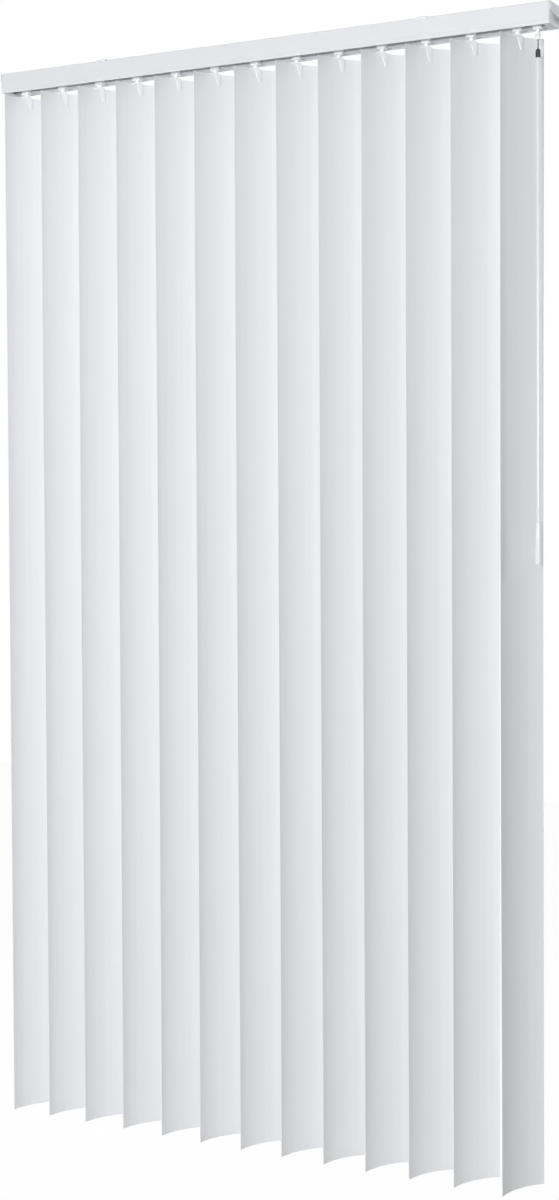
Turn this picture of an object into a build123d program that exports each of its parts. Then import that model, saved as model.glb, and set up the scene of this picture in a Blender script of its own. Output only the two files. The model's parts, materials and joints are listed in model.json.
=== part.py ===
from build123d import *
from math import asin, cos, radians, sin
import os

# A vertical blind with rigid curved vanes, hung from a ceiling headrail and worked by a wand.
# Millimetres. X runs along the rail, -Y faces the room, +Z is up.
# The origin lies on the ceiling plane, midway between the two bracket screws.

# Headrail, a drawn channel with a recessed floor that is slotted along its middle
rail_length = 992.0
rail_depth = 44.5
rail_height = 33.0
rail_wall = 1.5
skirt_band = 5.0
skirt_inset = 1.5
floor_recess = 3.0
slot_width = 13.4
slot_lip = 2.2

# Ceiling brackets
bracket_from_end = 204.0
bracket_width = 17.0
bracket_sheet = 1.4
bracket_bend = 1.0
bracket_hook = 3.4
bracket_foot = 8.0
screw_radius = 2.2

# End caps
cap_thickness = 4.0
cap_edge = 1.2
cap_plug_length = 7.0
cap_plug_wall = 2.0
cap_step_depth = 2.4
cap_step_front = 13.0
cap_step_rear = 20.5
cap_boss_radius = 4.6
cap_foot_length = 10.0
cap_foot_play = 0.3

# Vanes
vane_count = 13
vane_chord = 89.0
vane_sag = 9.3
vane_thickness = 0.9
vane_drop = 1800.0
vane_below_rail = 8.5
vane_angle = 58.0
last_vane_turn = 6.5
first_vane_from_end = 36.0
last_vane_from_end = 56.0
hole_width = 8.0
hole_height = 4.2
hole_below_top = 7.0

# Carriers that slide in the rail, one for each vane
carrier_width = 15.0
carrier_depth = 30.0
carrier_height = 21.5
carrier_lip_gap = 0.8
carrier_corner = 1.5
lead_buffer = 10.0
shoe_width = 4.4
neck_depth = 12.2
neck_corner = 3.0
neck_below_rail = 2.0
bore_clearance = 0.3

# Hangers, a geared stem with a fork that grips the vane
stem_radius = 3.8
gear_radius = 6.2
gear_height = 6.5
gear_teeth = 10
tooth_notch = 0.8
gear_seat_above_track = 9.5
stem_below_rail = 7.5
leg_thickness = 1.8
leg_gap = 0.3
tongue_straight_side = 6.4
tongue_top_width = 8.4
tongue_tip_width = 4.4
tongue_length = 22.0
rear_leg_width = 7.0
rear_leg_length = 13.0
barb_height = 3.0
barb_side_play = 0.6

# Tilt rod, splined over its whole run
rod_radius = 2.6
rod_offset = 10.2
rod_above_track = 13.0
spline_radius = 0.55
spline_count = 4
journal_radius = 2.0
journal_length = 3.0
journal_clearance = 0.1

# Tilter at the leading end, which carries the wand on a pin between two ears
wand_from_last_vane = 32.0
tilter_front_length = 11.0
tilter_rear_length = 12.0
drawbar_height = 2.2
drawbar_width = 6.0
drawbar_lap = 1.5
ear_radius = 2.6
ear_thickness = 1.5
pivot_below_rail = 5.0
pivot_radius = 1.1
pivot_clearance = 0.1
knuckle_play = 0.3

# Wand
block_width = 7.4
block_depth = 6.4
block_corner = 1.2
block_play = 0.3
swivel_block_height = 2.2
knuckle_web_width = 3.6
stem_block_height = 7.2
spigot_radius = 1.3
spigot_length = 1.4
fork_slot = 2.2
fork_wall = 1.0
pin_above_stem_bottom = 4.0
cross_pin_radius = 0.8
wire_radius = 0.8
eye_radius = 1.75
eye_play = 0.3
shank_radius = 1.05
ferrule_below_rail = 31.0
ferrule_length = 13.0
ferrule_radius = 3.9
ferrule_collar = 0.9
ferrule_cone = 2.6
wand_radius = 2.6
wand_insert = 4.0
handle_below_rail = 742.0
handle_length = 65.0
handle_top_radius = 4.4
handle_tip_radius = 5.4
handle_tip_round = 1.8
handle_insert = 30.0
handle_shoulder = 3.0

# Derived places
rail_top = -bracket_sheet
rail_end = rail_length / 2
half_depth = rail_depth / 2
half_slot = slot_width / 2
inner_depth = half_depth - rail_wall
skirt_inner = half_depth - skirt_inset - rail_wall
rail_bottom = rail_top - rail_height
floor_bottom = rail_bottom + floor_recess
track_top = floor_bottom + rail_wall
carrier_bottom = track_top + slot_lip + carrier_lip_gap
carrier_top = track_top + carrier_height
neck_bottom = rail_bottom - neck_below_rail
first_x = -rail_end + first_vane_from_end
last_x = rail_end - last_vane_from_end
vane_pitch = (last_x - first_x) / (vane_count - 1)
wand_x = last_x + wand_from_last_vane
vane_top = rail_bottom - vane_below_rail
vane_bottom = rail_top - vane_drop
arc_radius = (vane_chord**2 / 4 + vane_sag**2) / (2 * vane_sag)
arc_half_angle = asin(vane_chord / 2 / arc_radius)
stem_bore = stem_radius + bore_clearance
rod_bore = rod_radius + bore_clearance
rod_z = track_top + rod_above_track
leg_inner = vane_thickness / 2 + leg_gap
hole_top = vane_top - hole_below_top

os.makedirs("parts", exist_ok=True)


def write(piece, name):
    piece.part.label = name
    export_step(piece.part, f"parts/{name}.step")


def rail_outline():
    """Half of the outer section, from the foot of the skirt round to the middle of the top."""
    return [
        (half_depth - skirt_inset, -rail_height),
        (half_depth, -rail_height + skirt_band),
        (half_depth, 0),
        (0, 0),
    ]


# Headrail
with BuildPart() as headrail:
    rail_plane = Plane(origin=(-rail_end, 0, rail_top), x_dir=(0, 1, 0), z_dir=(1, 0, 0))
    with BuildSketch(rail_plane):
        with BuildLine():
            recess = -rail_height + floor_recess
            inner = [
                (0, -rail_wall),
                (inner_depth, -rail_wall),
                (inner_depth, -rail_height + skirt_band),
                (inner_depth, recess + rail_wall),
                (half_slot + rail_wall, recess + rail_wall),
                (half_slot + rail_wall, recess + rail_wall + slot_lip),
                (half_slot, recess + rail_wall + slot_lip),
                (half_slot, recess),
                (skirt_inner, recess),
                (skirt_inner, -rail_height),
            ]
            Polyline(*rail_outline(), *inner, close=True)
        make_face()
        mirror(about=Plane.YZ)
    extrude(amount=rail_length)
    top_edges = headrail.edges().filter_by(Axis.X).group_by(Axis.Z)[-1]
    fillet(top_edges.sort_by(Axis.Y)[0], radius=rail_wall / 2)
    top_edges = headrail.edges().filter_by(Axis.X).group_by(Axis.Z)[-1]
    fillet(top_edges.sort_by(Axis.Y)[-1], radius=rail_wall / 2)
write(headrail, "headrail")

# End caps, mirror images of each other
for side, cap_name in ((-1, "end_cap_left"), (1, "end_cap_right")):
    cap_plane = Plane(origin=(side * rail_end, 0, rail_top), x_dir=(0, 1, 0), z_dir=(1, 0, 0))
    with BuildPart() as cap:
        with BuildSketch(cap_plane):
            with BuildLine():
                Polyline((0, -rail_height), *rail_outline(), close=True)
            make_face()
            mirror(about=Plane.YZ)
        extrude(amount=side * cap_thickness)
        outer_face = cap.faces().sort_by(Axis.X)[-1 if side > 0 else 0]
        fillet(outer_face.edges(), radius=cap_edge)
        with BuildSketch(cap_plane.offset(side * (cap_thickness - cap_step_depth))):
            with BuildLine():
                Polyline(
                    (-half_depth, -cap_step_front),
                    (half_depth, -cap_step_rear),
                    (half_depth, -rail_height),
                    (-half_depth, -rail_height),
                    close=True,
                )
            make_face()
        extrude(amount=side * cap_step_depth, mode=Mode.SUBTRACT)
        plug_half = inner_depth - bore_clearance
        plug_bottom = -rail_height + floor_recess + rail_wall + slot_lip + bore_clearance
        with BuildSketch(cap_plane):
            with Locations((0, (plug_bottom - rail_wall - bore_clearance) / 2)):
                Rectangle(2 * plug_half, -rail_wall - bore_clearance - plug_bottom)
        extrude(amount=-side * cap_plug_length)
        with BuildSketch(cap_plane):
            with Locations((0, (plug_bottom - rail_wall - bore_clearance) / 2)):
                Rectangle(
                    2 * (plug_half - cap_plug_wall),
                    -rail_wall - bore_clearance - plug_bottom - 2 * cap_plug_wall,
                )
        extrude(amount=-side * cap_plug_length, mode=Mode.SUBTRACT)
        foot_half = skirt_inner - cap_foot_play
        with BuildSketch(cap_plane):
            with Locations((0, (floor_recess - cap_foot_play) / 2 - rail_height)):
                Rectangle(2 * foot_half, floor_recess - cap_foot_play)
        extrude(amount=-side * cap_foot_length)
        with BuildSketch(cap_plane):
            with Locations((rod_offset, rod_z - rail_top)):
                Circle(cap_boss_radius)
        extrude(amount=-side * (journal_length + bore_clearance))
        with BuildSketch(cap_plane):
            with Locations((rod_offset, rod_z - rail_top)):
                Circle(journal_radius + journal_clearance)
        extrude(amount=-side * (journal_length + bore_clearance), mode=Mode.SUBTRACT)
    write(cap, cap_name)

# Ceiling brackets, sheet clips hooked over the two top edges of the rail
for side, bracket_name in ((-1, "bracket_left"), (1, "bracket_right")):
    bracket_x = side * (rail_end - bracket_from_end)
    clip_half = half_depth + bracket_sheet + bore_clearance
    with BuildPart() as bracket:
        with BuildSketch(Plane.YZ.offset(bracket_x - bracket_width / 2)):
            with BuildLine():
                Polyline(
                    (-clip_half, 0),
                    (clip_half, 0),
                    (clip_half, -bracket_foot),
                    (clip_half - bracket_sheet, -bracket_foot),
                    (clip_half - bracket_sheet, -bracket_sheet),
                    (-clip_half + bracket_sheet, -bracket_sheet),
                    (-clip_half + bracket_sheet, -bracket_sheet - bracket_hook),
                    (-clip_half, -bracket_sheet - bracket_hook),
                    close=True,
                )
            make_face()
        extrude(amount=bracket_width)
        fillet(bracket.edges().filter_by(Axis.X).group_by(Axis.Z)[-1], radius=bracket_bend)
        with Locations((bracket_x, 0, 0)):
            Hole(radius=screw_radius)
    write(bracket, bracket_name)

# Tilt rod, with a round journal at each end
with BuildPart() as tilt_rod:
    rod_half = rail_end - journal_length - 2 * bore_clearance
    with BuildSketch(Plane.YZ.offset(-rod_half)):
        with Locations((rod_offset, rod_z)):
            Circle(rod_radius)
            with PolarLocations(rod_radius, spline_count):
                Circle(spline_radius, mode=Mode.SUBTRACT)
    extrude(amount=2 * rod_half)
    journal_half = rail_end - bore_clearance
    with BuildSketch(Plane.YZ.offset(-journal_half)):
        with Locations((rod_offset, rod_z)):
            Circle(journal_radius)
    extrude(amount=2 * journal_half)
write(tilt_rod, "tilt_rod")


def runner(x, front, rear):
    """Block with two shoes on the rail's floor and a neck through its slot, bored for the tilt rod."""
    middle = x + (rear - front) / 2
    shoe_y = half_slot + rail_wall + bore_clearance + shoe_width / 2
    with BuildPart() as block:
        with BuildSketch(Plane.XY.offset(carrier_bottom)):
            with Locations((middle, 0)):
                RectangleRounded(front + rear, carrier_depth, carrier_corner)
        extrude(amount=carrier_height - (carrier_bottom - track_top))
        with BuildSketch(Plane.XY.offset(carrier_bottom)):
            with Locations((middle, shoe_y), (middle, -shoe_y)):
                Rectangle(front + rear - 2 * carrier_corner, shoe_width)
        extrude(amount=track_top + bore_clearance - carrier_bottom)
        with BuildSketch(Plane.XY.offset(neck_bottom)):
            with Locations((x, 0)):
                RectangleRounded(carrier_width, neck_depth, neck_corner)
        extrude(amount=carrier_bottom - neck_bottom)
        with BuildSketch(Plane.YZ.offset(x - front)):
            with Locations((rod_offset, rod_z)):
                Circle(rod_bore)
        extrude(amount=front + rear, mode=Mode.SUBTRACT)
    return block.part


# Carriers and hangers and vanes, one set for each station along the rail
for number in range(vane_count):
    station = f"{number + 1:02d}"
    x = first_x + vane_pitch * number
    is_last = number == vane_count - 1
    angle = radians(vane_angle + last_vane_turn * is_last)
    tilted = Plane(origin=(x, 0, 0), x_dir=(cos(angle), sin(angle), 0), z_dir=(0, 0, 1))

    carrier_front = carrier_width / 2 + lead_buffer * is_last
    carrier_block = runner(x, carrier_front, carrier_width / 2)
    with BuildPart() as carrier:
        add(carrier_block)
        with BuildSketch(Plane.XY.offset(neck_bottom)):
            with Locations((x, 0)):
                Circle(stem_bore)
        extrude(amount=carrier_top - neck_bottom, mode=Mode.SUBTRACT)
        gear_seat = track_top + gear_seat_above_track
        with BuildSketch(Plane.XY.offset(gear_seat)):
            with Locations((x, 0)):
                Circle(gear_radius + bore_clearance)
        extrude(amount=carrier_top - gear_seat, mode=Mode.SUBTRACT)
    write(carrier, f"carrier_{station}")

    with BuildPart() as hanger:
        gear_bottom = gear_seat + bore_clearance
        stem_bottom = rail_bottom - stem_below_rail
        with BuildSketch(tilted.offset(gear_bottom)):
            Circle(gear_radius)
            with PolarLocations(gear_radius, gear_teeth):
                Circle(tooth_notch, mode=Mode.SUBTRACT)
        extrude(amount=gear_height)
        with BuildSketch(tilted.offset(stem_bottom)):
            Circle(stem_radius)
        extrude(amount=gear_bottom - stem_bottom)
        tongue_plane = Plane(
            origin=tilted.from_local_coords((0, -leg_inner, stem_bottom)),
            x_dir=tilted.x_dir,
            z_dir=-tilted.y_dir,
        )
        with BuildSketch(tongue_plane):
            with BuildLine():
                Polyline(
                    (tongue_straight_side - tongue_top_width, 0),
                    (tongue_straight_side, 0),
                    (tongue_straight_side, -tongue_length),
                    (tongue_straight_side - tongue_tip_width, -tongue_length),
                    close=True,
                )
            make_face()
        extrude(amount=leg_thickness)
        with BuildSketch(tongue_plane.offset(-2 * leg_inner)):
            with Locations((0, -rear_leg_length / 2)):
                Rectangle(rear_leg_width, rear_leg_length)
        extrude(amount=-leg_thickness)
        barb_top = hole_top - leg_gap - stem_bottom
        with BuildSketch(tongue_plane):
            with Locations((0, barb_top - barb_height / 2)):
                Rectangle(hole_width - 2 * barb_side_play - 2 * leg_gap, barb_height)
        extrude(amount=-2 * leg_inner)
    write(hanger, f"hanger_{station}")

    with BuildPart() as vane:
        with BuildSketch(tilted.offset(vane_top)):
            with BuildLine():
                outer_radius = arc_radius + vane_thickness / 2
                inner_radius = arc_radius - vane_thickness / 2
                ends = [
                    (radius * sin(arc_half_angle), radius * cos(arc_half_angle) - arc_radius)
                    for radius in (outer_radius, inner_radius)
                ]
                outer_end, inner_end = ends
                ThreePointArc(
                    (-outer_end[0], outer_end[1]), (0, vane_thickness / 2), outer_end
                )
                Line(outer_end, inner_end)
                ThreePointArc(
                    inner_end, (0, -vane_thickness / 2), (-inner_end[0], inner_end[1])
                )
                Line((-inner_end[0], inner_end[1]), (-outer_end[0], outer_end[1]))
            make_face()
        extrude(amount=vane_bottom - vane_top)
        hole_plane = Plane(
            origin=tilted.from_local_coords((0, -vane_thickness, hole_top - hole_height / 2)),
            x_dir=tilted.x_dir,
            z_dir=tilted.y_dir,
        )
        with BuildSketch(hole_plane):
            Rectangle(hole_width, hole_height)
        extrude(amount=2 * vane_thickness, mode=Mode.SUBTRACT)
    write(vane, f"vane_{station}")

# Tilter, a closed gearbox in the rail, drawn along with the last carrier
tilter_block = runner(wand_x, tilter_front_length, tilter_rear_length)
with BuildPart() as tilter:
    add(tilter_block)
    pivot_z = rail_bottom - pivot_below_rail
    ear_y = (block_depth - ear_thickness) / 2
    with BuildSketch(Plane.XY.offset(pivot_z)):
        with Locations((wand_x, ear_y), (wand_x, -ear_y)):
            Rectangle(2 * ear_radius, ear_thickness)
    extrude(amount=neck_bottom - pivot_z)
    for ear_start in (-block_depth / 2, block_depth / 2 - ear_thickness):
        with BuildSketch(Plane.XZ.offset(ear_start)):
            with Locations((wand_x, pivot_z)):
                Circle(ear_radius)
        extrude(amount=ear_thickness)
    with BuildSketch(Plane.XZ.offset(-block_depth / 2)):
        with Locations((wand_x, pivot_z)):
            Circle(pivot_radius)
    extrude(amount=block_depth)
    bar_start = last_x - carrier_width / 2 + drawbar_lap
    bar_end = wand_x + tilter_rear_length
    with BuildSketch(Plane.XY.offset(carrier_top)):
        with Locations(((bar_start + bar_end) / 2, -carrier_depth / 3)):
            Rectangle(bar_end - bar_start, drawbar_width)
    extrude(amount=drawbar_height)
write(tilter, "tilter")

# Swivel, a knuckle on the tilter's pin that lets the wand swing out
with BuildPart() as wand_swivel:
    knuckle_half = block_depth / 2 - ear_thickness - knuckle_play
    swivel_top = pivot_z - ear_radius - block_play
    swivel_bottom = swivel_top - swivel_block_height
    with BuildSketch(Plane.XZ.offset(-knuckle_half)):
        with Locations((wand_x, pivot_z)):
            Circle(ear_radius)
    extrude(amount=2 * knuckle_half)
    with BuildSketch(Plane.XY.offset(swivel_top)):
        with Locations((wand_x, 0)):
            Rectangle(knuckle_web_width, 2 * knuckle_half)
    extrude(amount=pivot_z - swivel_top)
    with BuildSketch(Plane.XY.offset(swivel_bottom)):
        with Locations((wand_x, 0)):
            RectangleRounded(block_width, block_depth, block_corner)
    extrude(amount=swivel_block_height)
    with BuildSketch(Plane.XZ.offset(-knuckle_half)):
        with Locations((wand_x, pivot_z)):
            Circle(pivot_radius + pivot_clearance)
    extrude(amount=2 * knuckle_half, mode=Mode.SUBTRACT)
    with BuildSketch(Plane.XY.offset(swivel_bottom)):
        with Locations((wand_x, 0)):
            Circle(spigot_radius + pivot_clearance)
    extrude(amount=spigot_length + pivot_clearance, mode=Mode.SUBTRACT)
write(wand_swivel, "wand_swivel")

# Wand stem, a block with a spigot above and a slotted fork with a cross pin below
with BuildPart() as wand_stem:
    block_top = swivel_bottom - block_play
    block_bottom = block_top - stem_block_height
    pin_z = block_bottom + pin_above_stem_bottom
    with BuildSketch(Plane.XY.offset(block_bottom)):
        with Locations((wand_x, 0)):
            RectangleRounded(block_width, block_depth, block_corner)
    extrude(amount=stem_block_height)
    with BuildSketch(Plane.XY.offset(block_top)):
        with Locations((wand_x, 0)):
            Circle(spigot_radius)
    extrude(amount=block_play + spigot_length)
    slot_top = pin_z + cross_pin_radius + 2 * wire_radius + eye_play
    with BuildSketch(Plane.XZ.offset(-fork_slot / 2)):
        with Locations((wand_x, (slot_top + block_bottom) / 2)):
            Rectangle(block_width - 2 * fork_wall, slot_top - block_bottom)
    extrude(amount=fork_slot, mode=Mode.SUBTRACT)
    with BuildSketch(Plane.XZ.offset(-fork_slot / 2)):
        with Locations((wand_x, pin_z)):
            Circle(cross_pin_radius)
    extrude(amount=fork_slot)
write(wand_stem, "wand_stem")

# Hook, a flattened eye that hangs on the cross pin, with a straight shank below
with BuildPart() as wand_hook:
    eye_z = pin_z + cross_pin_radius + wire_radius - eye_radius
    ferrule_top = rail_bottom - ferrule_below_rail
    shank_bottom = ferrule_top - wand_insert
    with BuildSketch(Plane.XZ.offset(-wire_radius)):
        with Locations((wand_x, eye_z)):
            Circle(eye_radius + wire_radius)
            Circle(eye_radius - wire_radius, mode=Mode.SUBTRACT)
    extrude(amount=2 * wire_radius)
    with BuildSketch(Plane.XY.offset(shank_bottom)):
        with Locations((wand_x, 0)):
            Circle(shank_radius)
    extrude(amount=eye_z - eye_radius - shank_bottom)
write(wand_hook, "wand_hook")

# Ferrule that grips the shank above and the wand below
with BuildPart() as wand_ferrule:
    ferrule_bottom = ferrule_top - ferrule_length
    with BuildSketch(Plane.XZ):
        with BuildLine():
            Polyline(
                (wand_x + shank_radius, ferrule_top),
                (wand_x + shank_radius + ferrule_collar, ferrule_top),
                (wand_x + ferrule_radius, ferrule_top - ferrule_cone),
                (wand_x + ferrule_radius, ferrule_bottom),
                (wand_x + wand_radius, ferrule_bottom),
                (wand_x + wand_radius, ferrule_bottom + wand_insert),
                (wand_x + shank_radius, ferrule_bottom + wand_insert),
                close=True,
            )
        make_face()
    revolve(axis=Axis((wand_x, 0, 0), (0, 0, 1)), revolution_arc=360)
write(wand_ferrule, "wand_ferrule")

# Wand rod, from the ferrule into the handle
with BuildPart() as wand_rod:
    handle_top = rail_bottom - handle_below_rail
    rod_top = ferrule_bottom + wand_insert
    rod_bottom = handle_top - handle_insert
    with BuildSketch(Plane.XY.offset(rod_bottom)):
        with Locations((wand_x, 0)):
            Circle(wand_radius)
    extrude(amount=rod_top - rod_bottom)
write(wand_rod, "wand_rod")

# Handle, a grip that widens towards its rounded tip
with BuildPart() as wand_handle:
    handle_bottom = handle_top - handle_length
    with BuildSketch(Plane.XZ):
        with BuildLine():
            Polyline(
                (wand_x, handle_bottom),
                (wand_x + handle_tip_radius, handle_bottom),
                (wand_x + handle_top_radius, handle_top - handle_shoulder),
                (wand_x + wand_radius, handle_top),
                (wand_x + wand_radius, rod_bottom),
                (wand_x, rod_bottom),
                close=True,
            )
        make_face()
    revolve(axis=Axis((wand_x, 0, 0), (0, 0, 1)), revolution_arc=360)
    fillet(wand_handle.edges().group_by(Axis.Z)[0], radius=handle_tip_round)
write(wand_handle, "wand_handle")
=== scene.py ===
import json
from math import asin, cos, pi, radians, sin

import bmesh
import bpy
from mathutils import Matrix, Vector


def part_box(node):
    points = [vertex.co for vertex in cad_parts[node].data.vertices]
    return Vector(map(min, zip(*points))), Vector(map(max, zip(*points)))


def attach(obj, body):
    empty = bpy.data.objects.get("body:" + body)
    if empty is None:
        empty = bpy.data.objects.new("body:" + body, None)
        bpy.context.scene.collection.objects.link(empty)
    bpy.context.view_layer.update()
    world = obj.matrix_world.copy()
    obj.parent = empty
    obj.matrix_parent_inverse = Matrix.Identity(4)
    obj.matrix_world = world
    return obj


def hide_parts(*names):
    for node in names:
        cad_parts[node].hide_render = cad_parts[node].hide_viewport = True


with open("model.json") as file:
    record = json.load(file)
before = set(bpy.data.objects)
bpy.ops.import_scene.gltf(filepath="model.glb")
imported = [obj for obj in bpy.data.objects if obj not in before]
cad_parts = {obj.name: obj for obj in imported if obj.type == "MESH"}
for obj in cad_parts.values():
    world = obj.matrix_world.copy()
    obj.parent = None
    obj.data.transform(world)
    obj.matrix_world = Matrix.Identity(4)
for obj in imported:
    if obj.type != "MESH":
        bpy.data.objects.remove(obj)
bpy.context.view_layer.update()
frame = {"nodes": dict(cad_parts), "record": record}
cad_nodes = frame["nodes"]
scene = bpy.context.scene
scene.view_settings.view_transform = "Standard"

# The view. The blind is seen from the wand end and from about mid height,
# at the angle that was fitted to the edges of its thirteen vanes.
view_place = (1.42405, -2.67905, -0.74407)
view_yaw = 0.479933
view_pitch = 0.027035
view_roll = -0.004783
camera_data = bpy.data.cameras.new("camera")
camera_data.lens = 55.786
camera_data.shift_y = -0.04016
camera_data.clip_end = 60
camera = bpy.data.objects.new("camera", camera_data)
camera.matrix_world = (
    Matrix.Translation(view_place)
    @ Matrix.Rotation(view_yaw, 4, "Z")
    @ Matrix.Rotation(pi / 2 - view_pitch, 4, "X")
    @ Matrix.Rotation(view_roll, 4, "Z")
)
scene.collection.objects.link(camera)
scene.camera = camera

# The room. A pale floor under the blind, faint white light all round, and large soft lamps.
# Most light comes from the front, so that each vane darkens towards its front edge, and two
# lamps behind reach the vanes' far sides and come back from them softly.


def add_node(tree, kind, inputs=None, **settings):
    """New node in a tree, with its settings, and with each input given a value or a link."""
    node = tree.nodes.new(kind)
    for key, value in settings.items():
        setattr(node, key, value)
    for key, value in (inputs or {}).items():
        if isinstance(value, bpy.types.NodeSocket):
            tree.links.new(value, node.inputs[key])
        else:
            node.inputs[key].default_value = value
    return node


def to_mesh(name, work):
    """Mesh of a finished bmesh, which is freed."""
    mesh = bpy.data.meshes.new(name)
    work.to_mesh(mesh)
    work.free()
    return mesh


room_strength = 0.15
world = bpy.data.worlds.new("white_room")
scene.world = world
world.use_nodes = True
tree = world.node_tree
tree.nodes.clear()
light_path = add_node(tree, "ShaderNodeLightPath")
room_light = add_node(
    tree, "ShaderNodeBackground", {"Color": (0.975, 0.985, 1.0, 1), "Strength": room_strength}
)
seen_white = add_node(tree, "ShaderNodeBackground", {"Color": (1, 1, 1, 1), "Strength": 1.0})
direct = add_node(
    tree,
    "ShaderNodeMath",
    {0: light_path.outputs["Is Camera Ray"], 1: light_path.outputs["Is Glossy Ray"]},
    operation="MAXIMUM",
)
shown = add_node(
    tree,
    "ShaderNodeMath",
    {0: direct.outputs[0], 1: light_path.outputs["Is Transmission Ray"]},
    operation="MAXIMUM",
)
mixed = add_node(
    tree,
    "ShaderNodeMixShader",
    {0: shown.outputs[0], 1: room_light.outputs[0], 2: seen_white.outputs[0]},
)
add_node(tree, "ShaderNodeOutputWorld", {"Surface": mixed.outputs[0]})


def soft_lamp(name, place, target, width, watts):
    """Square area lamp that points at the target."""
    data = bpy.data.lights.new(name, "AREA")
    data.shape = "SQUARE"
    data.size = width
    data.energy = watts
    lamp = bpy.data.objects.new(name, data)
    aim = (Vector(target) - Vector(place)).to_track_quat("-Z", "Y")
    lamp.matrix_world = Matrix.Translation(place) @ aim.to_matrix().to_4x4()
    scene.collection.objects.link(lamp)


middle = (0, 0, -0.9)
soft_lamp("front_lamp", (0.48, -5.48, -0.1), middle, 1.6, 206)
soft_lamp("right_lamp", (4.21, -3.54, 0.3), middle, 1.6, 14)
soft_lamp("back_left_lamp", (-2.5, 2.5, 0.5), middle, 2.2, 104)
soft_lamp("back_right_lamp", (2.5, 2.5, 0.5), middle, 2.2, 50)

floor_size = 14.0
floor_drop = 2.4
floor_white_share = 0.97
floor_grid = bmesh.new()
bmesh.ops.create_grid(floor_grid, x_segments=8, y_segments=8, size=floor_size / 2)
floor_mesh = to_mesh("floor", floor_grid)
floor = bpy.data.objects.new("floor", floor_mesh)
floor.location = (0, 0, -floor_drop)
scene.collection.objects.link(floor)
floor_paint = bpy.data.materials.new("pale_floor")
floor_paint.use_nodes = True
tree = floor_paint.node_tree
tree.nodes.clear()
light_path = add_node(tree, "ShaderNodeLightPath")
matt = add_node(tree, "ShaderNodeBsdfDiffuse", {"Color": (0.80, 0.80, 0.80, 1)})
bright = add_node(tree, "ShaderNodeEmission", {"Color": (1, 1, 1, 1), "Strength": 1.0})
share = add_node(
    tree,
    "ShaderNodeMath",
    {0: light_path.outputs["Is Camera Ray"], 1: floor_white_share},
    operation="MULTIPLY",
)
mixed = add_node(
    tree, "ShaderNodeMixShader", {0: share.outputs[0], 1: matt.outputs[0], 2: bright.outputs[0]}
)
add_node(tree, "ShaderNodeOutputMaterial", {"Surface": mixed.outputs[0]})
floor_mesh.materials.append(floor_paint)

# Headrail. A channel of drawn aluminium, slotted below, with a fine groove above its lower
# edge. A satin white powder coat lies over the faint lines that the drawing leaves along it.


def new_effect(name, inputs, outputs):
    """Node group with float, colour and vector inputs, and its input and output nodes."""
    group = bpy.data.node_groups.new(name, "ShaderNodeTree")
    for label, kind, value in inputs:
        socket = group.interface.new_socket(label, in_out="INPUT", socket_type=kind)
        socket.default_value = value
    for label, kind in outputs:
        group.interface.new_socket(label, in_out="OUTPUT", socket_type=kind)
    return group, group.nodes.new("NodeGroupInput"), group.nodes.new("NodeGroupOutput")


def varied_colour(group, given, noise, amount):
    """Colour made a little lighter and darker by a noise, and the factor that scales it."""
    centred = add_node(group, "ShaderNodeMath", {0: noise, 1: 0.5}, operation="SUBTRACT")
    swing = add_node(
        group, "ShaderNodeMath", {0: centred.outputs[0], 1: amount}, operation="MULTIPLY"
    )
    factor = add_node(group, "ShaderNodeMath", {0: swing.outputs[0], 1: 1.0}, operation="ADD")
    shaded = add_node(
        group,
        "ShaderNodeVectorMath",
        {0: given.outputs["Colour"], "Scale": factor.outputs[0]},
        operation="SCALE",
    )
    return shaded.outputs[0], factor.outputs[0]


def make_lines_effect():
    """Long fine lines: a noise that is stretched along the run of the piece."""
    group, given, result = new_effect(
        "drawn_lines",
        [
            ("Colour", "NodeSocketColor", (0.8, 0.8, 0.8, 1)),
            ("Stretch", "NodeSocketVector", (1, 1, 1)),
            ("Contrast", "NodeSocketFloat", 0.03),
            ("Roughness", "NodeSocketFloat", 0.4),
        ],
        [
            ("Colour", "NodeSocketColor"),
            ("Roughness", "NodeSocketFloat"),
            ("Height", "NodeSocketFloat"),
        ],
    )
    place = add_node(group, "ShaderNodeTexCoord")
    stretched = add_node(
        group,
        "ShaderNodeVectorMath",
        {0: place.outputs["Object"], 1: given.outputs["Stretch"]},
        operation="MULTIPLY",
    )
    lines = add_node(
        group,
        "ShaderNodeTexNoise",
        {"Vector": stretched.outputs[0], "Scale": 1.0, "Detail": 3.0, "Roughness": 0.6},
    )
    colour, factor = varied_colour(
        group, given, lines.outputs["Fac"], given.outputs["Contrast"]
    )
    rough = add_node(
        group,
        "ShaderNodeMath",
        {0: given.outputs["Roughness"], 1: factor},
        operation="MULTIPLY",
    )
    group.links.new(colour, result.inputs["Colour"])
    group.links.new(rough.outputs[0], result.inputs["Roughness"])
    group.links.new(lines.outputs["Fac"], result.inputs["Height"])
    return group


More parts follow.
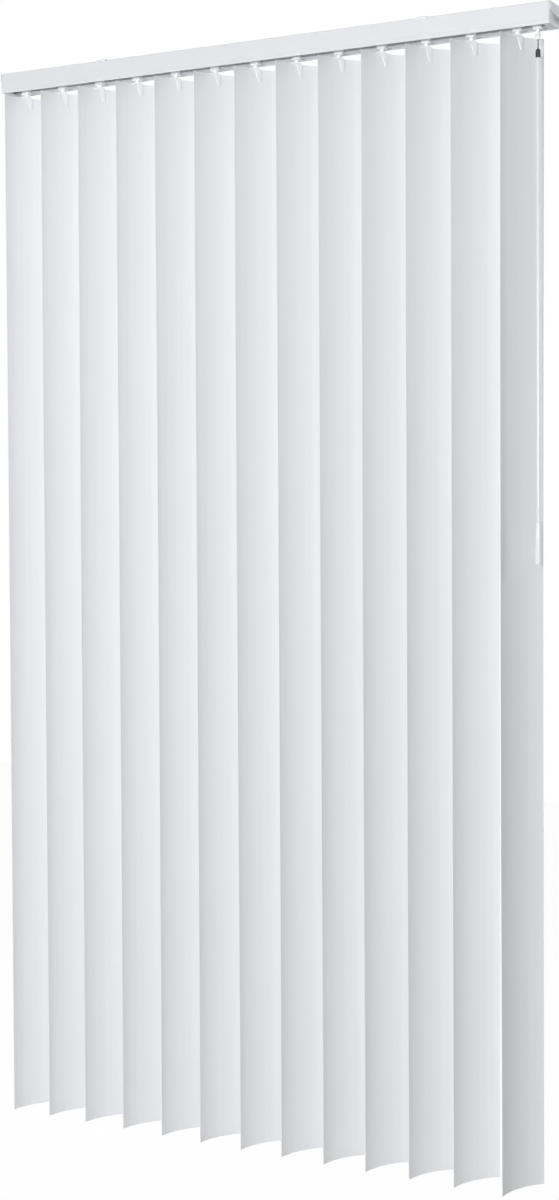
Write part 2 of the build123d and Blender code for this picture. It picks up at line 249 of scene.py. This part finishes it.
def make_grain_effect():
    """Fine even grain of a coat or a moulded surface, with a slow mottle in its colour."""
    group, given, result = new_effect(
        "fine_grain",
        [
            ("Colour", "NodeSocketColor", (0.8, 0.8, 0.8, 1)),
            ("Grains per metre", "NodeSocketFloat", 1200.0),
            ("Mottle", "NodeSocketFloat", 0.03),
            ("Roughness", "NodeSocketFloat", 0.4),
        ],
        [
            ("Colour", "NodeSocketColor"),
            ("Roughness", "NodeSocketFloat"),
            ("Height", "NodeSocketFloat"),
        ],
    )
    place = add_node(group, "ShaderNodeTexCoord")
    grain = add_node(
        group,
        "ShaderNodeTexNoise",
        {
            "Vector": place.outputs["Object"],
            "Scale": given.outputs["Grains per metre"],
            "Detail": 2.0,
            "Roughness": 0.55,
        },
    )
    cloud = add_node(
        group,
        "ShaderNodeTexNoise",
        {"Vector": place.outputs["Object"], "Scale": 34.0, "Detail": 3.0, "Roughness": 0.5},
    )
    colour, _ = varied_colour(group, given, cloud.outputs["Fac"], given.outputs["Mottle"])
    rough_grain = add_node(
        group,
        "ShaderNodeMapRange",
        {"Value": grain.outputs["Fac"], "To Min": 0.9, "To Max": 1.1},
    )
    rough = add_node(
        group,
        "ShaderNodeMath",
        {0: given.outputs["Roughness"], 1: rough_grain.outputs["Result"]},
        operation="MULTIPLY",
    )
    group.links.new(colour, result.inputs["Colour"])
    group.links.new(rough.outputs[0], result.inputs["Roughness"])
    group.links.new(grain.outputs["Fac"], result.inputs["Height"])
    return group


drawn_lines = make_lines_effect()
fine_grain = make_grain_effect()
relief_depth = 0.0001


def new_finish(name, effect, effect_values, relief_strength, shader_values=None):
    """Material with one effect group that feeds the shader's colour, roughness and bump."""
    finish = bpy.data.materials.new(name)
    finish.use_nodes = True
    tree = finish.node_tree
    tree.nodes.clear()
    surface = add_node(tree, "ShaderNodeGroup", node_tree=effect)
    for key, value in effect_values.items():
        surface.inputs[key].default_value = value
    relief = add_node(
        tree,
        "ShaderNodeBump",
        {
            "Height": surface.outputs["Height"],
            "Strength": relief_strength,
            "Distance": relief_depth,
        },
    )
    shader = add_node(
        tree,
        "ShaderNodeBsdfPrincipled",
        {
            "Base Color": surface.outputs["Colour"],
            "Roughness": surface.outputs["Roughness"],
            "Normal": relief.outputs[0],
            **(shader_values or {}),
        },
    )
    add_node(tree, "ShaderNodeOutputMaterial", {"Surface": shader.outputs[0]})
    return finish


cad_bodies = frame["record"]["behaviour"]["bodies"]
body_of_node = {node: body for body, group in cad_bodies.items() for node in group}


def set_piece(name, mesh, finish, node):
    """Object for a finished mesh that stands for one CAD node and rides on that node's body."""
    mesh.materials.clear()
    mesh.materials.append(finish)
    piece = bpy.data.objects.new(name, mesh)
    scene.collection.objects.link(piece)
    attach(piece, body_of_node[node])
    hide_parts(node)


def link_holder(data):
    """Passing object that holds a mesh or curve while modifiers work on it."""
    holder = bpy.data.objects.new("holder", data)
    scene.collection.objects.link(holder)
    return holder


def take_mesh(holder):
    """Mesh that the holder shows with its modifiers; the holder is removed."""
    seen = holder.evaluated_get(bpy.context.evaluated_depsgraph_get())
    mesh = bpy.data.meshes.new_from_object(seen)
    bpy.data.objects.remove(holder)
    return mesh


def round_edges(mesh, radius, steps=2, sharp_angle=32):
    """The mesh with every sharp outer edge rounded and every face smoothly shaded."""
    work = bmesh.new()
    work.from_mesh(mesh)
    weight = work.edges.layers.float.new("bevel_weight_edge")
    for edge in work.edges:
        is_sharp = len(edge.link_faces) == 2 and edge.calc_face_angle() > radians(sharp_angle)
        edge[weight] = 1.0 if is_sharp and edge.is_convex else 0.0
        edge.smooth = not is_sharp or edge.is_convex
    for face in work.faces:
        face.smooth = True
    work.to_mesh(mesh)
    work.free()
    holder = link_holder(mesh)
    bevel = holder.modifiers.new("round", "BEVEL")
    bevel.limit_method = "WEIGHT"
    bevel.width = radius
    bevel.segments = steps
    bevel.harden_normals = True
    return take_mesh(holder)


rail_coat = new_finish(
    "satin_powder_coat",
    drawn_lines,
    {
        "Colour": (0.772, 0.783, 0.802, 1),
        "Stretch": (6, 900, 900),
        "Contrast": 0.03,
        "Roughness": 0.38,
    },
    0.10,
    {"Coat Weight": 0.15, "Coat Roughness": 0.25},
)


def prism(name, outline, start, end):
    """Straight bar along X with the given outline of depth and height."""
    work = bmesh.new()
    rings = [[work.verts.new((x, y, z)) for y, z in outline] for x in (start, end)]
    for ring in rings:
        work.faces.new(ring)
    count = len(outline)
    for k in range(count):
        near, far = k, (k + 1) % count
        work.faces.new((rings[0][near], rings[0][far], rings[1][far], rings[1][near]))
    bmesh.ops.recalc_face_normals(work, faces=work.faces)
    return to_mesh(name, work)


rail_low, rail_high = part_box("headrail")
half_depth = (rail_high.y - rail_low.y) / 2
wall = 0.0015
skirt_height = 0.005
skirt_top = rail_low.z + skirt_height
skirt_inset = 0.0015
groove_width = 0.0007
groove_depth = 0.00045
floor_lift = 0.003
floor_under = rail_low.z + floor_lift
slot_half = 0.0067
lip_height = 0.0022
lip_top = floor_under + wall + lip_height
rail_edge = 0.0003
rear_half = [
    (half_depth - skirt_inset - wall, rail_low.z),
    (half_depth - skirt_inset, rail_low.z),
    (half_depth, skirt_top),
    (half_depth - groove_depth, skirt_top + groove_width / 2),
    (half_depth, skirt_top + groove_width),
    (half_depth, rail_high.z - wall / 2),
    (half_depth - wall / 2, rail_high.z),
]
rear_inside = [
    (half_depth - wall, rail_high.z - wall),
    (half_depth - wall, floor_under + wall),
    (slot_half + wall, floor_under + wall),
    (slot_half + wall, lip_top),
    (slot_half, lip_top),
    (slot_half, floor_under),
    (half_depth - skirt_inset - wall, floor_under),
]
rail_outline = rear_half + [(-y, z) for y, z in reversed(rear_half)]
rail_outline += [(-y, z) for y, z in reversed(rear_inside)] + rear_inside
rail = prism("headrail", rail_outline, rail_low.x, rail_high.x)
rail = round_edges(rail, rail_edge)
set_piece("coated_headrail", rail, rail_coat, "headrail")

# End caps. Moulded plastic plugs pushed into the rail's ends, with a sloped step on the
# outer face and a finely sparked surface.
cap_edge = 0.0003


def whole_copy(node, merge_distance=1e-6, flat_within=0.3):
    """Copy of a CAD node's mesh in which each flat face is one face again."""
    work = bmesh.new()
    work.from_mesh(cad_nodes[node].data)
    bmesh.ops.remove_doubles(work, verts=work.verts, dist=merge_distance)
    bmesh.ops.dissolve_limit(
        work, angle_limit=radians(flat_within), verts=work.verts, edges=work.edges
    )
    return to_mesh(node, work)


cap_plastic = new_finish(
    "sparked_cap_plastic",
    fine_grain,
    {
        "Colour": (0.69, 0.70, 0.722, 1),
        "Grains per metre": 1600.0,
        "Mottle": 0.03,
        "Roughness": 0.55,
    },
    0.25,
)
for side in ("left", "right"):
    cap = round_edges(whole_copy("end_cap_" + side), cap_edge)
    set_piece("moulded_cap_" + side, cap, cap_plastic, "end_cap_" + side)

# Ceiling brackets. Clips bent from sheet steel, coated white, hooked over the rail's edges.
bracket_edge = 0.00025
bracket_coat = new_finish(
    "coated_sheet_steel",
    fine_grain,
    {
        "Colour": (0.82, 0.828, 0.84, 1),
        "Grains per metre": 900.0,
        "Mottle": 0.04,
        "Roughness": 0.42,
    },
    0.15,
)
for side in ("left", "right"):
    bracket = round_edges(whole_copy("bracket_" + side), bracket_edge)
    set_piece("ceiling_clip_" + side, bracket, bracket_coat, "bracket_" + side)

# Tilt rod. Bare aluminium drawn with splines, so its lines run along the rod. It passes
# through every carrier and turns in the end caps.


def dress(node, finish):
    """Gives a CAD node, whose shape stays as it is, one finish all over."""
    mesh = cad_nodes[node].data
    mesh.materials.clear()
    mesh.materials.append(finish)


rod_metal = new_finish(
    "bare_drawn_aluminium",
    drawn_lines,
    {
        "Colour": (0.72, 0.725, 0.735, 1),
        "Stretch": (8, 2500, 2500),
        "Contrast": 0.2,
        "Roughness": 0.34,
    },
    0.2,
    {"Metallic": 1.0},
)
dress("tilt_rod", rod_metal)

# Carriers, tilter and swivel. White acetal, moulded smooth, a shade lighter than the rail.
# The carriers run on the rail's floor, and the swivel hangs on the tilter's pin.
runner_edge = 0.0003
runner_plastic = new_finish(
    "smooth_acetal",
    fine_grain,
    {
        "Colour": (0.87, 0.88, 0.895, 1),
        "Grains per metre": 700.0,
        "Mottle": 0.04,
        "Roughness": 0.36,
    },
    0.08,
)
for node in sorted(cad_nodes):
    if node.startswith("carrier_") or node in ("tilter", "wand_swivel"):
        runner = round_edges(whole_copy(node), runner_edge)
        set_piece("smooth_" + node, runner, runner_plastic, node)

# Hangers. One acetal moulding each: a geared stem that turns in its carrier, a long tapered
# tongue before the vane and a short leg behind it, and a barb through the vane's hole.
stem_radius = 0.0038
gear_radius = 0.0062
gear_height = 0.0065
notch_depth = 0.0009
rim_reach = 0.0006
rim_height = 0.0016
stem_above_tip = 0.022
root_overlap = 0.0008
leg_thickness = 0.0018
leg_gap = 0.00075
tongue_side = 0.0084
tongue_top_width = 0.0104
tongue_tip_width = 0.0040
tongue_length = 0.0208
rear_leg_half = 0.0035
rear_leg_length = 0.013
rear_leg_taper = 0.001
barb_low = 0.0008
barb_high = 0.0037
barb_top = 0.0083
barb_height = 0.003
barb_overlap = 0.0002
shoulder_reach = 0.0085
shoulder_height = 0.0030


def box_block(work, low, high, foot=None):
    """Block between two corners; its bottom face may have its own two ends along x."""
    foot_low, foot_high = foot or (low[0], high[0])
    bottom = [(foot_low, low[1]), (foot_high, low[1]), (foot_high, high[1]), (foot_low, high[1])]
    top = [(low[0], low[1]), (high[0], low[1]), (high[0], high[1]), (low[0], high[1])]
    lower = [work.verts.new((x, y, low[2])) for x, y in bottom]
    upper = [work.verts.new((x, y, high[2])) for x, y in top]
    work.faces.new(lower[::-1])
    work.faces.new(upper)
    for k in range(4):
        work.faces.new((lower[k], lower[(k + 1) % 4], upper[(k + 1) % 4], upper[k]))


def round_bar(work, radii, heights, steps=40):
    """Upright bar about the stem's axis whose radius may change with the direction."""
    outline = []
    for k in range(steps):
        radius = radii[k % len(radii)]
        bend = 2 * pi * k / steps
        outline.append((radius * cos(bend), radius * sin(bend)))
    rings = [[work.verts.new((x, y, z)) for x, y in outline] for z in heights]
    work.faces.new(rings[0][::-1])
    work.faces.new(rings[1])
    for k in range(steps):
        work.faces.new(
            (rings[0][k], rings[0][(k + 1) % steps], rings[1][(k + 1) % steps], rings[1][k])
        )


def join_solids(name, makers):
    """One closed mesh from several solids, each drawn by its maker into its own bmesh."""
    holders = []
    for make in makers:
        work = bmesh.new()
        make(work)
        bmesh.ops.recalc_face_normals(work, faces=work.faces)
        holders.append(link_holder(to_mesh(name, work)))
    body, others = holders[0], holders[1:]
    for other in others:
        union = body.modifiers.new("union", "BOOLEAN")
        union.operation = "UNION"
        union.solver = "EXACT"
        union.object = other
    joined = take_mesh(body)
    for other in others:
        bpy.data.objects.remove(other)
    return joined


def make_hanger(node, x, angle):
    """Hanger with its stem on the station's axis, turned as its vane is."""
    lowest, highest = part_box(node)
    stem_foot = lowest.z + stem_above_tip
    root = stem_foot + root_overlap
    gear_top = highest.z
    leg_far = leg_gap + leg_thickness
    tongue_start = tongue_side - tongue_top_width
    barb_depth = leg_gap + barb_overlap
    barb_upper = stem_foot - barb_top
    notched = [gear_radius] * 2 + [gear_radius - notch_depth] * 2
    makers = [
        lambda work: round_bar(work, [stem_radius], (stem_foot, gear_top - gear_height / 2)),
        lambda work: round_bar(work, notched, (gear_top - gear_height, gear_top)),
        lambda work: round_bar(
            work, [stem_radius + rim_reach], (stem_foot, stem_foot + rim_height)
        ),
        lambda work: box_block(
            work,
            (tongue_start, -leg_far, stem_foot - tongue_length),
            (tongue_side, -leg_gap, root),
            (tongue_side - tongue_tip_width, tongue_side),
        ),
        lambda work: box_block(
            work,
            (-rear_leg_half, leg_gap, stem_foot - rear_leg_length),
            (rear_leg_half, leg_far, root),
            (-rear_leg_half + rear_leg_taper, rear_leg_half - rear_leg_taper),
        ),
        lambda work: box_block(
            work,
            (barb_low, -barb_depth, barb_upper - barb_height),
            (barb_high, barb_depth, barb_upper),
        ),
        lambda work: box_block(
            work,
            (-shoulder_reach, -leg_far, stem_foot - shoulder_height),
            (tongue_side, -leg_gap, root),
            (tongue_start, tongue_side),
        ),
    ]
    mesh = join_solids(node, makers)
    mesh.transform(Matrix.Translation((x, 0, 0)) @ Matrix.Rotation(angle, 4, "Z"))
    return round_edges(mesh, runner_edge)


vane_turn = radians(58)
last_vane_turn = radians(6.5)
# For each vane: how far its top is turned back, in degrees, and its lean and bow, in mm
out_of_true = {
    "01": (-1.1, 1.2, 0.3),
    "02": (-1.4, 0.0, -0.5),
    "03": (-1.2, -1.0, -0.6),
    "04": (-0.9, 0.0, 0.2),
    "05": (-0.7, 0.8, 0.6),
    "06": (-1.0, 0.0, 0.0),
    "07": (-1.4, 0.8, -0.6),
    "08": (-0.8, 1.0, 0.3),
    "09": (-1.2, 1.2, -0.3),
    "10": (-1.6, 0.0, -0.8),
    "11": (-2.4, -0.4, -0.6),
    "12": (-3.4, -0.3, -0.3),
    "13": (-2.2, -0.3, -1.2),
}
stations = {}
for node in sorted(cad_nodes):
    if node.startswith("hanger_"):
        lowest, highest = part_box(node)
        stations[node[-2:]] = (lowest.x + highest.x) / 2
for number, x in stations.items():
    turn = vane_turn + last_vane_turn * (number == "13")
    twist = radians(out_of_true[number][0])
    hanger = make_hanger("hanger_" + number, x, turn + twist)
    set_piece("geared_hanger_" + number, hanger, runner_plastic, "hanger_" + number)

# Vanes. Rigid PVC strips extruded to a shallow curve and cut to length, with one punched
# hole at the top. The die leaves faint lines down their whole length. Each hangs a little
# out of true: its top is turned a degree or so against its foot, and it bows or leans.
vane_plastic = new_finish(
    "extruded_vane_plastic",
    drawn_lines,
    {
        "Colour": (0.806, 0.815, 0.831, 1),
        "Stretch": (420, 420, 0.9),
        "Contrast": 0.08,
        "Roughness": 0.5,
    },
    0.12,
)
vane_chord = 0.089
vane_sag = 0.0093
vane_thickness = 0.0009
vane_radius = (vane_chord**2 / 4 + vane_sag**2) / (2 * vane_sag)
vane_half_arc = vane_radius * asin(vane_chord / 2 / vane_radius)
hole_width = 0.008
hole_height = 0.0042
hole_below_top = 0.007
hole_corner = 0.0011
hole_margin = 0.002
vane_edge = 0.0003


def flat_vane(bottom, top):
    """Flat sheet as wide as the vane's arc is long, with a grid that closes in on the hole."""
    sheet = bmesh.new()
    near_hole = hole_width / 2 + hole_margin
    side_steps = 11
    side = [
        near_hole + (vane_half_arc - near_hole) * step / side_steps
        for step in range(side_steps + 1)
    ]
    columns = [-run for run in reversed(side)] + [-near_hole / 3, near_hole / 3] + side
    hole_top = top - hole_below_top
    hole_bottom = hole_top - hole_height
    levels = 16
    below_hole = hole_bottom - hole_margin
    rows = [bottom + (below_hole - bottom) * level / levels for level in range(levels + 1)]
    rows += [hole_top + hole_margin, top]
    grid = [[sheet.verts.new((run, 0, z)) for run in columns] for z in rows]
    for level, (low, high) in enumerate(zip(grid, grid[1:])):
        for place in range(len(columns) - 1):
            if level == levels and side_steps <= place < side_steps + 3:
                continue
            sheet.faces.new((low[place], low[place + 1], high[place + 1], high[place]))
    span = slice(side_steps, side_steps + 4)
    ring = grid[levels][span] + grid[levels + 1][span][::-1]
    border = [sheet.edges.get((one, two)) for one, two in zip(ring, ring[1:] + ring[:1])]
    hole = []
    for turn, (across, up) in enumerate(((1, 1), (-1, 1), (-1, -1), (1, -1))):
        for part in range(4):
            bend = pi / 2 * (turn + part / 3)
            run = across * (hole_width / 2 - hole_corner) + hole_corner * cos(bend)
            z = (hole_top + hole_bottom) / 2 + up * (hole_height / 2 - hole_corner)
            hole.append(sheet.verts.new((run, 0, z + hole_corner * sin(bend))))
    rim = [sheet.edges.new((one, two)) for one, two in zip(hole, hole[1:] + hole[:1])]
    bmesh.ops.bridge_loops(sheet, edges=border + rim)
    return sheet


def make_vane(node, x, angle, top_twist, lean, bow):
    """Vane at one station: the flat sheet rolled to its curve, turned and given its thickness."""
    lowest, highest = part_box(node)
    sheet = flat_vane(lowest.z, highest.z)
    bmesh.ops.recalc_face_normals(sheet, faces=sheet.faces)
    for vert in sheet.verts:
        bend = vert.co.x / vane_radius
        across = vane_radius * sin(bend)
        along = vane_radius * (cos(bend) - 1)
        drop = (highest.z - vert.co.z) / (highest.z - lowest.z)
        turn = angle + top_twist * (1 - drop)
        shift = lean * drop + bow * sin(pi * drop)
        vert.co.x = x + shift + across * cos(turn) - along * sin(turn)
        vert.co.y = across * sin(turn) + along * cos(turn)
    holder = link_holder(to_mesh(node, sheet))
    thicken = holder.modifiers.new("thicken", "SOLIDIFY")
    thicken.thickness = vane_thickness
    thicken.offset = 0
    thicken.use_even_offset = True
    return round_edges(take_mesh(holder), vane_edge)


millimetre = 0.001
for number, x in stations.items():
    turn = vane_turn + last_vane_turn * (number == "13")
    twist, lean, bow = out_of_true[number]
    vane = make_vane(
        "vane_" + number, x, turn, radians(twist), lean * millimetre, bow * millimetre
    )
    set_piece("curved_vane_" + number, vane, vane_plastic, "vane_" + number)

# Wand. A white gloss rod with a moulded grip at its foot, and above the hook a white stem
# with a slotted fork, which hangs in the swivel.
wand_gloss = new_finish(
    "white_gloss_plastic",
    drawn_lines,
    {
        "Colour": (0.82, 0.825, 0.835, 1),
        "Stretch": (900, 900, 5),
        "Contrast": 0.03,
        "Roughness": 0.2,
    },
    0.05,
)
wand_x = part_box("wand_rod")[0].x / 2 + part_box("wand_rod")[1].x / 2


def lathe_piece(name, profile, steps=40, sharp_angle=40):
    """Mesh of a round piece about the wand's axis, from a profile of radius and height."""
    bends = [2 * pi * k / steps for k in range(steps)]
    work = bmesh.new()
    rings = []
    for radius, z in profile:
        if radius == 0:
            rings.append([work.verts.new((wand_x, 0, z))])
            continue
        rings.append(
            [
                work.verts.new((wand_x + radius * cos(bend), radius * sin(bend), z))
                for bend in bends
            ]
        )
    for upper, lower in zip(rings, rings[1:]):
        for k in range(steps):
            corners = [upper[k % len(upper)], lower[k % len(lower)]]
            corners += [lower[(k + 1) % len(lower)], upper[(k + 1) % len(upper)]]
            kept = list(dict.fromkeys(corners))
            if len(kept) > 2:
                work.faces.new(kept)
    bmesh.ops.recalc_face_normals(work, faces=work.faces)
    for face in work.faces:
        face.smooth = True
    mesh = to_mesh(name, work)
    mesh.set_sharp_from_angle(angle=radians(sharp_angle))
    return mesh


def rounded_profile(corners, steps=4):
    """Profile through corners of radius, height and rounding, as a list of radius and height."""
    points = []
    for place, (radius, z, rounding) in enumerate(corners):
        if rounding == 0:
            points.append((radius, z))
            continue
        here = Vector((radius, z))
        before = (Vector(corners[place - 1][:2]) - here).normalized()
        after = (Vector(corners[place + 1][:2]) - here).normalized()
        for step in range(steps + 1):
            part = step / steps
            bend = here + before * rounding * (1 - part) ** 2 + after * rounding * part**2
            points.append((bend.x, bend.y))
    return points


rod_low, rod_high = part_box("wand_rod")
rod_radius = (rod_high.x - rod_low.x) / 2
rod_rounding = 0.001
rod = lathe_piece(
    "wand_rod",
    rounded_profile(
        [
            (0, rod_high.z, 0),
            (rod_radius, rod_high.z, rod_rounding),
            (rod_radius, rod_low.z, 0),
            (0, rod_low.z, 0),
        ]
    ),
)
set_piece("gloss_rod", rod, wand_gloss, "wand_rod")

grip_low, grip_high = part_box("wand_handle")
grip_tip = (grip_high.x - grip_low.x) / 2
grip_bore = 0.030
grip_lip = 0.0007
grip_lip_rounding = 0.0004
grip_shoulder = 0.0044
grip_shoulder_drop = 0.003
grip_shoulder_rounding = 0.0015
grip_tip_rounding = 0.0022
grip = lathe_piece(
    "wand_handle",
    rounded_profile(
        [
            (rod_radius, grip_high.z - grip_bore, 0),
            (rod_radius, grip_high.z, 0),
            (rod_radius + grip_lip, grip_high.z, grip_lip_rounding),
            (grip_shoulder, grip_high.z - grip_shoulder_drop, grip_shoulder_rounding),
            (grip_tip, grip_low.z, grip_tip_rounding),
            (0, grip_low.z, 0),
        ]
    ),
)
set_piece("gloss_grip", grip, wand_gloss, "wand_handle")

stem_edge = 0.00035
stem = round_edges(whole_copy("wand_stem"), stem_edge)
set_piece("slotted_stem", stem, wand_gloss, "wand_stem")

# Hook and ferrule. A round wire with a black coat, bent to an open eye over the stem's pin,
# and a black turned ferrule that grips the wire above and the rod below.
hook_black = new_finish(
    "black_coated_wire",
    fine_grain,
    {
        "Colour": (0.012, 0.012, 0.013, 1),
        "Grains per metre": 1500.0,
        "Mottle": 0.3,
        "Roughness": 0.42,
    },
    0.3,
)
hook_low, hook_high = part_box("wand_hook")
wire_radius = 0.0008
eye_radius = (hook_high.x - hook_low.x) / 2 - wire_radius
eye_z = hook_high.z - wire_radius - eye_radius
eye_steps = 28
eye_opening = 0.35
eye_lead = 0.0004
shank_bend = 0.0012
wire = bpy.data.curves.new("wand_hook", "CURVE")
wire.dimensions = "3D"
wire.bevel_depth = wire_radius
wire.bevel_resolution = 4
wire.use_fill_caps = True
run = wire.splines.new("POLY")
wire_path = [(wand_x, 0, hook_low.z), (wand_x, 0, eye_z - eye_radius - shank_bend)]
for step in range(eye_steps + 1):
    bend = -pi / 2 + (2 * pi - eye_opening) * step / eye_steps
    side = wand_x + eye_radius * cos(bend)
    wire_path.append((side, eye_lead * step / eye_steps, eye_z + eye_radius * sin(bend)))
run.points.add(len(wire_path) - 1)
for point, place in zip(run.points, wire_path):
    point.co = (*place, 1)
hook = take_mesh(link_holder(wire))
hook.shade_smooth()
hook.set_sharp_from_angle(angle=radians(50))
set_piece("wire_hook", hook, hook_black, "wand_hook")

ferrule_low, ferrule_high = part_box("wand_ferrule")
ferrule_radius = (ferrule_high.x - ferrule_low.x) / 2
ferrule_collar = 0.00195
collar_rounding = 0.0004
ferrule_shoulder_drop = 0.0026
ferrule_shoulder_rounding = 0.0008
ferrule_foot_rounding = 0.0006
rod_socket = 0.004
ferrule = lathe_piece(
    "wand_ferrule",
    rounded_profile(
        [
            (wire_radius, ferrule_low.z + rod_socket, 0),
            (wire_radius, ferrule_high.z, 0),
            (ferrule_collar, ferrule_high.z, collar_rounding),
            (
                ferrule_radius,
                ferrule_high.z - ferrule_shoulder_drop,
                ferrule_shoulder_rounding,
            ),
            (ferrule_radius, ferrule_low.z, ferrule_foot_rounding),
            (rod_radius, ferrule_low.z, 0),
            (rod_radius, ferrule_low.z + rod_socket, 0),
            (wire_radius, ferrule_low.z + rod_socket, 0),
        ]
    ),
)
set_piece("turned_ferrule", ferrule, hook_black, "wand_ferrule")
